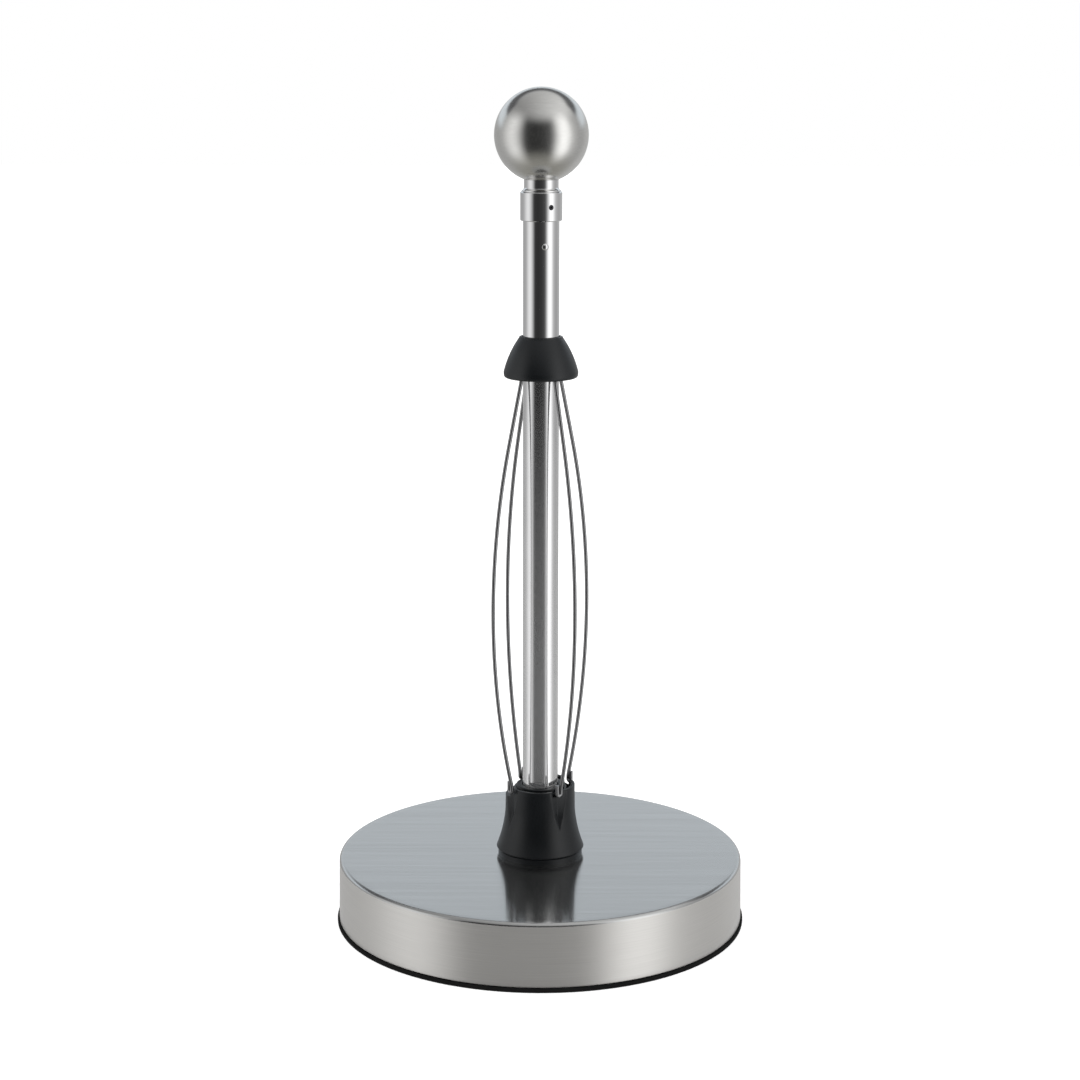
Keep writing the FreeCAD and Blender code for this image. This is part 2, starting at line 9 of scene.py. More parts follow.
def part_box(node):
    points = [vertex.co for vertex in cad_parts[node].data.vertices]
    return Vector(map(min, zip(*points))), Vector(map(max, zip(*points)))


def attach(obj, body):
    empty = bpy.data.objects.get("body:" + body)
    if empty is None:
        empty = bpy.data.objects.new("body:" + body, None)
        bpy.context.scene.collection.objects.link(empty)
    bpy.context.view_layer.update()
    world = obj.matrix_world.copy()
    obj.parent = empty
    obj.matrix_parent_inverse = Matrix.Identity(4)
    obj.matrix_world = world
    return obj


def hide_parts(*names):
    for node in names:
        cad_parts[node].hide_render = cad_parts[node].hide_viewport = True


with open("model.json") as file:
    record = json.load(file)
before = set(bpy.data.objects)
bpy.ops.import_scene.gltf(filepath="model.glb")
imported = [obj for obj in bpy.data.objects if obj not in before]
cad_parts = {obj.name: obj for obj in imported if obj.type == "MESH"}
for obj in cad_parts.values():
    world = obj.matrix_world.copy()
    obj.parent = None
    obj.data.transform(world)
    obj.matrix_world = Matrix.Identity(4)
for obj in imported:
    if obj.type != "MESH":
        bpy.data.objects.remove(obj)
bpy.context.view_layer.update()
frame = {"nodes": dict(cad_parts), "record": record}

# Paper towel holder. Metres, +Z up, the origin in the middle of the underside, -Y the front.
MM = 0.001
TURN = 2 * math.pi
WELD = 0.002 * MM            # spots closer than this are one
CLEARANCE = 0.3 * MM         # between the pole and what only passes it


# ---- levels and radii taken from the frame ------------------------------------------------
def low_z(node):
    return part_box(node)[0][2]


def high_z(node):
    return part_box(node)[1][2]


def out_r(node):
    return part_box(node)[1][0]


BASE_TOP = high_z("base_cover")
COVER_FOOT = low_z("base_cover")
PAD_R = out_r("base_pad")
PAD_TOP = high_z("base_pad")
POLE_R = out_r("pole_tube")
POLE_END = high_z("pole_tube")
HUB_LOW = low_z("hub_shell")
HUB_TOP = high_z("hub_shell")
SKIRT_R = out_r("hub_shell")
CAP_R = out_r("hub_cap")
CAP_LOW = low_z("hub_cap")
BELL_LOW = low_z("bell_shell")
BELL_TOP = high_z("bell_shell")
BALL_R = out_r("finial_ball")
BALL_Z = high_z("finial_ball") - BALL_R
WIRE_FOOT = low_z("cage_wire_1")
WIRE_TOP = high_z("cage_wire_1")


# ---- outlines -----------------------------------------------------------------------------
def arc(centre, radius, start, end, steps=8):
    """Points of an arc in the (r, z) plane; degrees from the +r direction towards +z."""
    points = []
    for step in range(steps + 1):
        angle = math.radians(start + (end - start) * step / steps)
        points.append((centre[0] + radius * math.cos(angle), centre[1] + radius * math.sin(angle)))
    return points


def run(start, end, steps):
    """Evenly spaced points of a straight run, both ends included."""
    return [(start[0] + (end[0] - start[0]) * step / steps, start[1] + (end[1] - start[1]) * step / steps)
            for step in range(steps + 1)]


def through(first, middle, last, steps=12):
    """Points of the arc through three points of the (r, z) plane."""
    (ax, az), (bx, bz), (cx, cz) = first, middle, last
    double_area = 2 * (ax * (bz - cz) + bx * (cz - az) + cx * (az - bz))
    a2, b2, c2 = ax * ax + az * az, bx * bx + bz * bz, cx * cx + cz * cz
    ux = (a2 * (bz - cz) + b2 * (cz - az) + c2 * (az - bz)) / double_area
    uz = (a2 * (cx - bx) + b2 * (ax - cx) + c2 * (bx - ax)) / double_area
    radius = math.hypot(ax - ux, az - uz)
    start = math.atan2(az - uz, ax - ux)
    end = math.atan2(cz - uz, cx - ux)
    turn = (end - start + math.pi) % TURN - math.pi
    return arc((ux, uz), radius, math.degrees(start), math.degrees(start + turn), steps)


# ---- meshes -------------------------------------------------------------------------------
def spun(profile, steps, closed=True):
    """bmesh of an (r, z) outline spun once round the pole's axis."""
    bm = bmesh.new()
    verts = [bm.verts.new((r, 0, z)) for r, z in profile]
    pairs = list(zip(verts, verts[1:]))
    if closed:
        pairs.append((verts[-1], verts[0]))
    edges = [bm.edges.new(pair) for pair in pairs]
    bmesh.ops.spin(bm, geom=verts + edges, cent=(0, 0, 0), axis=(0, 0, 1), dvec=(0, 0, 0), angle=TURN,
                   steps=steps, use_merge=True, use_duplicate=False)
    bmesh.ops.remove_doubles(bm, verts=bm.verts, dist=WELD)
    bmesh.ops.recalc_face_normals(bm, faces=bm.faces)
    return bm


def lay_grain(bm):
    """UV map of the brushing: V runs with the grain and U across it.
    The grain runs along X on flat faces and round the axis on walls."""
    layer = bm.loops.layers.uv.new("grain")
    for face in bm.faces:
        middle = face.calc_center_median()
        flat = abs(face.normal.z) > 0.8
        middle_angle = math.atan2(middle.y, middle.x)
        for loop in face.loops:
            spot = loop.vert.co
            if flat:
                loop[layer].uv = (spot.y, spot.x)
            else:
                angle = math.atan2(spot.y, spot.x) - middle_angle
                angle = middle_angle + (angle + math.pi) % TURN - math.pi
                loop[layer].uv = (spot.z, angle * math.hypot(middle.x, middle.y))


def piece(name, bm, material, body, crease=32):
    """Object made from a bmesh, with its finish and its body."""
    mesh = bpy.data.meshes.new(name)
    bm.to_mesh(mesh)
    bm.free()
    mesh.polygons.foreach_set("use_smooth", [True] * len(mesh.polygons))
    mesh.set_sharp_from_angle(angle=math.radians(crease))
    made = bpy.data.objects.new(name, mesh)
    bpy.context.scene.collection.objects.link(made)
    mesh.materials.append(material)
    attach(made, body)
    return made


def rounded(bm, amount, min_angle=30, segments=3):
    """Small round on every edge that is sharper than the angle."""
    sharp = [edge for edge in bm.edges if len(edge.link_faces) == 2
             and edge.calc_face_angle(0) > math.radians(min_angle)]
    bmesh.ops.bevel(bm, geom=sharp, offset=amount, offset_type="OFFSET", segments=segments, profile=0.5,
                    affect="EDGES", material=-1, clamp_overlap=True)
    bmesh.ops.recalc_face_normals(bm, faces=bm.faces)


def outward(azimuth):
    """Unit vector out from the pole, degrees from the front towards +X."""
    turn = math.radians(azimuth)
    return Vector((math.sin(turn), -math.cos(turn), 0))


def swept(name, points, radius, material, body, sides=10):
    """Round wire along a list of points, its ends closed."""
    curve = bpy.data.curves.new(name + "_path", "CURVE")
    curve.dimensions = "3D"
    curve.bevel_depth = radius
    curve.bevel_resolution = sides // 2 - 1
    curve.use_fill_caps = True
    spline = curve.splines.new("POLY")
    spline.points.add(len(points) - 1)
    for point, spot in zip(spline.points, points):
        point.co = (spot[0], spot[1], spot[2], 1)
    holder = bpy.data.objects.new(name + "_path", curve)
    bpy.context.scene.collection.objects.link(holder)
    mesh = bpy.data.meshes.new_from_object(holder.evaluated_get(bpy.context.evaluated_depsgraph_get()))
    bpy.data.objects.remove(holder)
    bm = bmesh.new()
    bm.from_mesh(mesh)
    bpy.data.meshes.remove(mesh)
    bmesh.ops.remove_doubles(bm, verts=bm.verts, dist=WELD)
    bmesh.ops.recalc_face_normals(bm, faces=bm.faces)
    return piece(name, bm, material, body, crease=50)


# ---- finishes -----------------------------------------------------------------------------
class Finish:
    """A Principled material with a few helpers for its pattern."""

    def __init__(self, name, colour, metallic, roughness):
        self.material = bpy.data.materials.new(name)
        self.material.use_nodes = True
        self.nodes = self.material.node_tree.nodes
        self.links = self.material.node_tree.links
        self.shader = self.nodes["Principled BSDF"]
        self.shader.inputs["Base Color"].default_value = (*colour, 1)
        self.shader.inputs["Metallic"].default_value = metallic
        self.shader.inputs["Roughness"].default_value = roughness

    def place(self, scale=(1, 1, 1), uv=""):
        """Scaled object coordinates, or those of a UV map."""
        if uv:
            where = self.nodes.new("ShaderNodeUVMap")
            where.uv_map = uv
            output = where.outputs["UV"]
        else:
            output = self.nodes.new("ShaderNodeTexCoord").outputs["Object"]
        mapping = self.nodes.new("ShaderNodeMapping")
        mapping.inputs["Scale"].default_value = scale
        self.links.new(output, mapping.inputs["Vector"])
        return mapping.outputs["Vector"]

    def noise(self, vector, scale=1.0, detail=2.0, roughness=0.5):
        node = self.nodes.new("ShaderNodeTexNoise")
        node.inputs["Scale"].default_value = scale
        node.inputs["Detail"].default_value = detail
        node.inputs["Roughness"].default_value = roughness
        self.links.new(vector, node.inputs["Vector"])
        return node.outputs["Fac"]

    def spread(self, value, low, high, start=0.3, end=0.7):
        """Value from start..end stretched to low..high."""
        node = self.nodes.new("ShaderNodeMapRange")
        node.inputs["From Min"].default_value = start
        node.inputs["From Max"].default_value = end
        node.inputs["To Min"].default_value = low
        node.inputs["To Max"].default_value = high
        self.links.new(value, node.inputs["Value"])
        return node.outputs["Result"]

    def tint(self, value, dark, light, start=0.3, end=0.7):
        """Colour between dark and light, by value."""
        ramp = self.nodes.new("ShaderNodeValToRGB")
        ramp.color_ramp.elements[0].position = start
        ramp.color_ramp.elements[0].color = (*dark, 1)
        ramp.color_ramp.elements[1].position = end
        ramp.color_ramp.elements[1].color = (*light, 1)
        self.links.new(value, ramp.inputs["Fac"])
        self.links.new(ramp.outputs["Color"], self.shader.inputs["Base Color"])

    def rough(self, value):
        self.links.new(value, self.shader.inputs["Roughness"])

    def bump(self, value, distance, strength):
        node = self.nodes.new("ShaderNodeBump")
        node.inputs["Strength"].default_value = strength
        node.inputs["Distance"].default_value = distance
        self.links.new(value, node.inputs["Height"])
        self.links.new(node.outputs["Normal"], self.shader.inputs["Normal"])

    def tangent(self, uv):
        node = self.nodes.new("ShaderNodeTangent")
        node.direction_type = "UV_MAP"
        node.uv_map = uv
        self.links.new(node.outputs["Tangent"], self.shader.inputs["Tangent"])


def shades(colour, by):
    return tuple(max(0.0, min(1.0, channel * by)) for channel in colour)


def brushed_cover_finish(name, steel, metallic, roughness, stretch):
    """Satin-brushed stainless: hairlines across U, long along V."""
    finish = Finish(name, steel, metallic, roughness)
    hairs = finish.noise(finish.place((5200, 26, 1), uv="grain"), detail=3, roughness=0.6)
    bands = finish.noise(finish.place((420, 5, 1), uv="grain"), detail=2)
    finish.tint(hairs, shades(steel, 0.94), shades(steel, 1.05), 0.3, 0.7)
    finish.rough(finish.spread(bands, roughness * 0.92, roughness * 1.08))
    finish.shader.inputs["Anisotropic"].default_value = stretch
    finish.tangent("grain")
    finish.bump(hairs, 0.000003, 0.3)
    return finish.material


def brushed_ball_finish():
    steel = (0.74, 0.735, 0.715)
    finish = Finish("satin_ball", steel, 1.0, 0.2)
    hairs = finish.noise(finish.place((300, 300, 6500)), detail=3, roughness=0.6)
    cloud = finish.noise(finish.place((55, 55, 90)), detail=2)
    finish.tint(hairs, shades(steel, 0.94), shades(steel, 1.05), 0.3, 0.7)
    finish.rough(finish.spread(cloud, 0.185, 0.225))
    finish.bump(hairs, 0.000002, 0.3)
    return finish.material


def polished_finish(name="mirror_polished_steel", worn=0.0):
    """Mirror polish; with worn above 0 it is duller low down, where rolls rub the pole."""
    steel = (0.80, 0.80, 0.805)
    finish = Finish(name, steel, 1.0, 0.06)
    smudge = finish.noise(finish.place((70, 70, 28)), detail=4, roughness=0.6)
    lines = finish.noise(finish.place((900, 900, 30)), detail=2)
    finish.tint(smudge, shades(steel, 0.97), shades(steel, 1.02), 0.35, 0.65)
    finish.rough(finish.spread(smudge, 0.045, 0.085))
    finish.bump(lines, 0.0000012, 0.25)
    if worn:
        split = finish.nodes.new("ShaderNodeSeparateXYZ")
        finish.links.new(finish.place(), split.inputs[0])
        shine = finish.spread(split.outputs["Z"], 1 - worn, 1.0, 0.10, 0.25)
        finish.links.new(shine, finish.shader.inputs["Metallic"])
    return finish.material


def wire_finish():
    steel = (0.36, 0.36, 0.365)
    finish = Finish("drawn_spring_wire", steel, 1.0, 0.32)
    drawn = finish.noise(finish.place((5200, 5200, 60)), detail=3)
    finish.tint(drawn, shades(steel, 0.86), shades(steel, 1.08), 0.3, 0.7)
    finish.rough(finish.spread(drawn, 0.28, 0.36))
    finish.bump(drawn, 0.000004, 0.35)
    return finish.material


def moulded_finish(name, colour, roughness=0.38):
    """Satin moulded plastic with a fine spark-eroded texture."""
    finish = Finish(name, colour, 0.0, roughness)
    cloud = finish.noise(finish.place((60, 60, 60)), detail=3)
    grain = finish.noise(finish.place((3600, 3600, 3600)), detail=2, roughness=0.6)
    finish.tint(cloud, shades(colour, 0.85), shades(colour, 1.2), 0.3, 0.7)
    finish.rough(finish.spread(cloud, roughness - 0.05, roughness + 0.07))
    finish.bump(grain, 0.00002, 0.22)
    return finish.material


def rubber_finish():
    colour = (0.005, 0.005, 0.005)
    finish = Finish("non_slip_sheet", colour, 0.0, 0.85)
    cells = finish.nodes.new("ShaderNodeTexVoronoi")
    cells.inputs["Scale"].default_value = 900
    finish.links.new(finish.place(), cells.inputs["Vector"])
    cloud = finish.noise(finish.place((40, 40, 40)), detail=3)
    finish.tint(cloud, shades(colour, 0.7), shades(colour, 1.5), 0.3, 0.7)
    finish.rough(finish.spread(cloud, 0.78, 0.92))
    finish.shader.inputs["Specular IOR Level"].default_value = 0.15
    finish.bump(cells.outputs["Distance"], 0.00006, 0.5)
    return finish.material


def cast_finish():
    colour = (0.085, 0.083, 0.08)
    finish = Finish("cast_iron", colour, 0.6, 0.75)
    lumps = finish.noise(finish.place((420, 420, 420)), detail=6, roughness=0.65)
    finish.tint(lumps, shades(colour, 0.6), shades(colour, 1.4), 0.3, 0.7)
    finish.rough(finish.spread(lumps, 0.62, 0.85))
    finish.bump(lumps, 0.0003, 0.5)
    return finish.material


def plated_finish():
    colour = (0.56, 0.57, 0.58)
    finish = Finish("zinc_plating", colour, 1.0, 0.4)
    flake = finish.nodes.new("ShaderNodeTexVoronoi")
    flake.inputs["Scale"].default_value = 260
    finish.links.new(finish.place(), flake.inputs["Vector"])
    fine = finish.noise(finish.place((700, 700, 700)), detail=3)
    finish.tint(flake.outputs["Distance"], shades(colour, 0.85), shades(colour, 1.1), 0.0, 1.0)
    finish.rough(finish.spread(fine, 0.32, 0.48))
    finish.bump(fine, 0.00001, 0.3)
    return finish.material


def black_oxide_finish():
    colour = (0.03, 0.03, 0.034)
    finish = Finish("black_oxide", colour, 0.7, 0.42)
    fine = finish.noise(finish.place((900, 900, 900)), detail=3)
    finish.tint(fine, shades(colour, 0.7), shades(colour, 1.5), 0.3, 0.7)
    finish.rough(finish.spread(fine, 0.36, 0.5))
    finish.bump(fine, 0.000008, 0.3)
    return finish.material


BLACK = (0.0030, 0.0046, 0.0064)
COVER_TOP = brushed_cover_finish("long_grain_top", (0.60, 0.605, 0.60), 1.0, 0.15, 0.98)
COVER_SIDE = brushed_cover_finish("satin_grain_side", (0.585, 0.575, 0.555), 0.69, 0.30, 0.7)
BALL = brushed_ball_finish()
POLISHED = polished_finish()
POLE = polished_finish("polished_pole_steel", 0.14)
WIRE = wire_finish()
PLASTIC = moulded_finish("satin_black_plastic", BLACK)
ACETAL = moulded_finish("natural_acetal", (0.78, 0.77, 0.73), 0.32)
RUBBER = rubber_finish()
IRON = cast_finish()
ZINC = plated_finish()
OXIDE = black_oxide_finish()

SLOT_FINISH = {
    "brushed_steel": BALL,
    "polished_steel": POLISHED,
    "spring_wire": WIRE,
    "black_plastic": PLASTIC,
    "white_acetal": ACETAL,
    "black_rubber": RUBBER,
    "cast_iron": IRON,
    "zinc_steel": ZINC,
    "black_steel": OXIDE,
}


def finish_frame_nodes():
    """Every carried-over node takes the finish of its material slot."""
    for entry in frame["record"]["subparts"]:
        node = frame["nodes"][entry["node"]]
        material = SLOT_FINISH[entry["material_slot"]]
        for slot in node.material_slots:
            slot.link = "DATA"
            slot.material = material


# ---- camera, set up first -----------------------------------------------------------------
CAMERA_SIDE = -0.0003
CAMERA_AWAY = 1.0272
CAMERA_HEIGHT = 0.3916
CAMERA_PITCH = 12.02        # degrees down
CAMERA_LENS = 80.18         # on a 36 mm sensor
CAMERA_ROLL = 0.10          # degrees


def set_camera():
    """Camera a little above the ball, tilted down at the holder."""
    data = bpy.data.cameras.new("camera")
    data.lens = CAMERA_LENS
    data.sensor_width = 36
    data.clip_start = 0.01
    camera = bpy.data.objects.new("camera", data)
    camera.location = (CAMERA_SIDE, -CAMERA_AWAY, CAMERA_HEIGHT)
    tilted = Matrix.Rotation(math.radians(90 - CAMERA_PITCH), 3, "X")
    camera.rotation_euler = (tilted @ Matrix.Rotation(math.radians(CAMERA_ROLL), 3, "Z")).to_euler()
    bpy.context.scene.collection.objects.link(camera)
    bpy.context.scene.camera = camera


# ---- base ---------------------------------------------------------------------------------
COVER_TOP_R = 89.8 * MM
COVER_FOOT_R = out_r("base_cover")
COVER_EDGE = 1.8 * MM
SHEET = 0.8 * MM
COVER_HOLE_R = 4.25 * MM    # for the pole's bolt
PAD_GROOVES = 8             # rings pressed into the underside of the sheet
FLAT_TOP = 0.25             # upward share of the normal from which a face counts as top


def base_cover():
    """Pressed cover with a small round at the top and a hem at the foot; brushed top and side."""
    corner = (COVER_TOP_R - COVER_EDGE, BASE_TOP - COVER_EDGE)
    hem = SHEET / 2
    foot_middle = (COVER_FOOT_R - hem, COVER_FOOT + hem)
    profile = run((COVER_HOLE_R, BASE_TOP), (corner[0] - 3 * MM, BASE_TOP), 28)
    profile += arc(corner, COVER_EDGE, 90, 0, 14)
    profile += run((COVER_FOOT_R, COVER_FOOT + 6 * MM), (COVER_FOOT_R, COVER_FOOT + hem), 2)[1:]
    profile += arc(foot_middle, hem, 0, -180, 8)[1:]
    profile += [(COVER_TOP_R - SHEET, corner[1])]
    profile += arc(corner, COVER_EDGE - SHEET, 0, 90, 8)[1:]
    profile += [(COVER_HOLE_R, BASE_TOP - SHEET)]
    bm = spun(profile, 256)
    lay_grain(bm)
    for face in bm.faces:
        face.material_index = 0 if face.normal.z > FLAT_TOP else 1
    cover = piece("brushed_base_cover", bm, COVER_TOP, "base")
    cover.data.materials.append(COVER_SIDE)
    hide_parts("base_cover")


def base_pad():
    """Sheet with soft edges and ring grooves below."""
    edge = 0.55 * MM
    profile = [(0, PAD_TOP)]
    profile += arc((PAD_R - edge, PAD_TOP - edge), edge, 90, 0, 4)
    profile += arc((PAD_R - edge, edge), edge, 0, -90, 4)
    for groove in range(PAD_GROOVES, 0, -1):
        radius = PAD_R * groove / (PAD_GROOVES + 1)
        profile += [(radius + 1.0 * MM, 0), (radius + 0.6 * MM, 0.3 * MM)]
        profile += [(radius - 0.6 * MM, 0.3 * MM), (radius - 1.0 * MM, 0)]
    profile += [(0, 0)]
    bm = spun(profile, 192, closed=False)
    pad = piece("non_slip_pad", bm, RUBBER, "base")
    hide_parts("base_pad")


# ---- pole and finial ----------------------------------------------------------------------
POLE_BORE_R = 6.6 * MM
STUD_R = 3.0 * MM


def pole_tube():
    """Tube with a small round at its upper end."""
    lip = 0.3 * MM
    profile = [(POLE_BORE_R, BASE_TOP)]
    profile += run((POLE_R, BASE_TOP), (POLE_R, POLE_END - lip), 24)
    profile += arc((POLE_R - lip, POLE_END - lip), lip, 0, 90, 4)[1:]
    profile += [(POLE_BORE_R, POLE_END)]
    tube = piece("polished_pole", spun(profile, 128), POLE, "base")
    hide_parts("pole_tube")


def finial_ball():
    """Hollow ball, open below where the stud goes in."""
    wall = 1.0 * MM
    hole = math.degrees(math.asin((STUD_R + CLEARANCE) / BALL_R))
    profile = arc((0, BALL_Z), BALL_R, -90 + hole, 90, 96)
    profile += arc((0, BALL_Z), BALL_R - wall, 90, -90 + hole, 48)
    ball = piece("satin_ball_finial", spun(profile, 160), BALL, "base")
    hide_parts("finial_ball")


# ---- hub ----------------------------------------------------------------------------------
CAGE_TURN = 35.8            # azimuth of the first wire
WIRE_R = 0.85 * MM
HAIRPIN_R = 1.0 * MM
WIRE_FOOT_R = 15.5 * MM
CORE_R = 11.74 * MM
WALL_IN_R = 13.7 * MM
RIM_R = 15.4 * MM
WAIST_R = RIM_R + 0.1 * MM
WAIST_Z = 51.0 * MM
FLARE_MIDDLE = (16.95 * MM, 41.3 * MM)
CORE_SEAT_R = 13.99 * MM
CORE_SEAT_LOW = 40.0 * MM
CORE_SEAT_TOP = 47.0 * MM
SKIRT_MOUTH = (14.95 * MM, 38.0 * MM)
NOTCH_HALF = 2.2 * MM
NOTCH_FLOOR = WIRE_FOOT
RECESS_FLOOR = 57.6 * MM
LOW_LOBE = (219.0, 295.0)   # azimuths of the part of the rim that is cut down
# The V under each notch by level: level, radius of its bottom line, radius of the hub, half width.
FLUTE = [(63.0 * MM, 14.1 * MM, 15.4 * MM, 5.2 * MM), (50.0 * MM, 14.25 * MM, 15.5 * MM, 2.2 * MM),
         (41.8 * MM, 16.95 * MM, 17.0 * MM, 0.15 * MM)]
HUB_STEPS = 288
WIRE_ANGLES = [CAGE_TURN + 90 * quarter for quarter in range(4)]


def azimuth_of(spot):
    return math.degrees(math.atan2(spot.x, -spot.y)) % 360


def from_wire(spot, azimuth):
    """A spot as (out, across) from the middle of a wire's hairpin."""
    out = outward(azimuth)
    side = Vector((0, 0, 1)).cross(out)
    flat = Vector((spot.x, spot.y, 0))
    return flat.dot(out), flat.dot(side) + HAIRPIN_R


def in_notch(spot):
    for azimuth in WIRE_ANGLES:
        out, across = from_wire(spot, azimuth)
        if out > 0 and abs(across) < NOTCH_HALF:
            return True
    return False


def in_low_lobe(spot):
    return LOW_LOBE[0] < azimuth_of(spot) < LOW_LOBE[1]


def lift(bm, faces, height):
    """Extrude faces straight up by a height, and return the new top faces."""
    made = bmesh.ops.extrude_face_region(bm, geom=faces)
    bmesh.ops.delete(bm, geom=faces, context="FACES_ONLY")
    verts = [item for item in made["geom"] if isinstance(item, bmesh.types.BMVert)]
    bmesh.ops.translate(bm, verts=verts, vec=(0, 0, height))
    return [item for item in made["geom"] if isinstance(item, bmesh.types.BMFace)]


def flute_at(level):
    """Bottom line, hub radius and half width of the V at a level."""
    for high, low in zip(FLUTE, FLUTE[1:]):
        if low[0] <= level <= high[0]:
            share = (level - low[0]) / (high[0] - low[0])
            return [low[item] + (high[item] - low[item]) * share for item in (1, 2, 3)]
    return None


def press_flutes(bm):
    """V-shaped hollow under each notch that narrows to a point down the flank."""
    for vert in bm.verts:
        radius = math.hypot(vert.co.x, vert.co.y)
        section = flute_at(vert.co.z)
        if section is None or radius < RIM_R - 0.05 * MM:
            continue
        bottom, hub, half = section
        edge = math.sqrt(hub * hub - half * half)
        for azimuth in WIRE_ANGLES:
            out, across = from_wire(vert.co, azimuth)
            limit = bottom + (edge - bottom) * abs(across) / half
            if out > limit and abs(across) < half:
                vert.co -= outward(azimuth) * (out - limit)


def hub_shell():
    """Flared skirt with an upright rim round a recess; the rim has notches and a low part."""
    skirt = through((SKIRT_R, HUB_LOW + 0.5 * MM), FLARE_MIDDLE, (WAIST_R, WAIST_Z), 26)
    profile = [(SKIRT_R - 1.9 * MM, HUB_LOW), (SKIRT_R - 0.5 * MM, HUB_LOW)]
    profile += skirt
    profile += run((WAIST_R, WAIST_Z), (RIM_R, RECESS_FLOOR), 8)[1:]
    profile += [(WALL_IN_R, RECESS_FLOOR), (CORE_R, RECESS_FLOOR), (CORE_R, CORE_SEAT_TOP)]
    profile += [(CORE_SEAT_R, CORE_SEAT_TOP), (CORE_SEAT_R, CORE_SEAT_LOW), SKIRT_MOUTH]
    bm = spun(profile, HUB_STEPS)
    rim = []
    for face in bm.faces:
        middle = face.calc_center_median()
        on_top = face.normal.z > 0.9 and middle.z > RECESS_FLOOR - 0.01 * MM
        if on_top and math.hypot(middle.x, middle.y) > WALL_IN_R and not in_low_lobe(middle):
            rim.append(face)
    raised = lift(bm, rim, NOTCH_FLOOR - RECESS_FLOOR)
    lift(bm, [face for face in raised if not in_notch(face.calc_center_median())], HUB_TOP - NOTCH_FLOOR)
    bmesh.ops.remove_doubles(bm, verts=bm.verts, dist=WELD)
    press_flutes(bm)
    bmesh.ops.recalc_face_normals(bm, faces=bm.faces)
    rounded(bm, 0.22 * MM, 50)
    shell = piece("crowned_hub", bm, PLASTIC, "hub", crease=30)
    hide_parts("hub_shell")


def hub_cap():
    """Ring that closes the hub round the pole."""
    edge = 0.35 * MM
    inner = POLE_R + CLEARANCE
    profile = [(inner, CAP_LOW)]
    profile += arc((inner + edge, HUB_TOP - edge), edge, 180, 90, 5)
    profile += arc((CAP_R - edge, HUB_TOP - edge), edge, 90, 0, 5)
    profile += [(CAP_R, CAP_LOW)]
    cap = piece("hub_cap_ring", spun(profile, 128), PLASTIC, "hub")
    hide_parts("hub_cap")


# ---- cage wires ---------------------------------------------------------------------------
WIRE_FOOT_BEND = 63.2 * MM
WIRE_BELLY_R = 25.3 * MM
WIRE_BELLY_Z = 142.5 * MM
WIRE_TILT = 13.2            # degrees, both ends of the bow
WIRE_TOP_R = 10.0 * MM
BEND_R = 12.0 * MM
HAIRPIN_TIP = 65.2 * MM


def wire_line():
    """The wire's centre line as (r, z) points, from the hairpin's upright leg to the bell."""
    tilt = math.radians(WIRE_TILT)
    rise = WIRE_BELLY_Z - WIRE_FOOT_BEND
    swell = WIRE_BELLY_R - WIRE_FOOT_R
    bow_r = (rise * math.tan(tilt) - swell) / (math.sin(tilt) * math.tan(tilt) - (1 - math.cos(tilt)))
    centre = (WIRE_BELLY_R - bow_r, WIRE_BELLY_Z)
    reach = BEND_R * math.tan(tilt / 2)
    bow = arc(centre, bow_r, -WIRE_TILT, WIRE_TILT, 40)
    top_corner = WIRE_BELLY_Z + bow_r * math.sin(tilt) + (bow[-1][0] - WIRE_TOP_R) / math.tan(tilt)
    foot_bend = arc((WIRE_FOOT_R + BEND_R, WIRE_FOOT_BEND - reach), BEND_R, 180, 180 - WIRE_TILT, 5)
    top_bend = arc((WIRE_TOP_R + BEND_R, top_corner + reach), BEND_R, 180 + WIRE_TILT, 180, 5)
    line = foot_bend
    line += run(foot_bend[-1], bow[0], 10)[1:]
    line += bow[1:]
    line += run(bow[-1], top_bend[0], 20)[1:]
    line += top_bend[1:]
    line += run(top_bend[-1], (WIRE_TOP_R, WIRE_TOP), 3)[1:]
    return line


def cage_wire(number, azimuth):
    """Spring wire from the free leg of its hairpin, round the turn and up to the bell."""
    out = outward(azimuth)
    side = Vector((0, 0, 1)).cross(out)
    pin_z = NOTCH_FLOOR + WIRE_R + HAIRPIN_R
    free_leg = out * WIRE_FOOT_R - side * 2 * HAIRPIN_R
    points = [free_leg + Vector((0, 0, z)) for _, z in run((0, HAIRPIN_TIP), (0, pin_z), 3)]
    for across, z in arc((-HAIRPIN_R, pin_z), HAIRPIN_R, 180, 360, 14)[1:]:
        points.append(out * WIRE_FOOT_R + side * across + Vector((0, 0, z)))
    points += [out * r + Vector((0, 0, z)) for r, z in wire_line()]
    name = "spring_wire_" + str(number)
    wire = swept(name, points, WIRE_R, WIRE, "hub", sides=14)
    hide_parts("cage_wire_" + str(number))


# ---- bell ---------------------------------------------------------------------------------
BELL_R = out_r("bell_shell")
BELL_NECK_R = 9.5 * MM
BELL_WALL = 1.4 * MM
BELL_FLANK = (13.4 * MM, 254.9 * MM)      # middle of the domed flank
INSERT_SEAT = [(12.6 * MM, 251.6 * MM), (11.4 * MM, 255.8 * MM)]
BELL_BORE_FOOT = 260.2 * MM


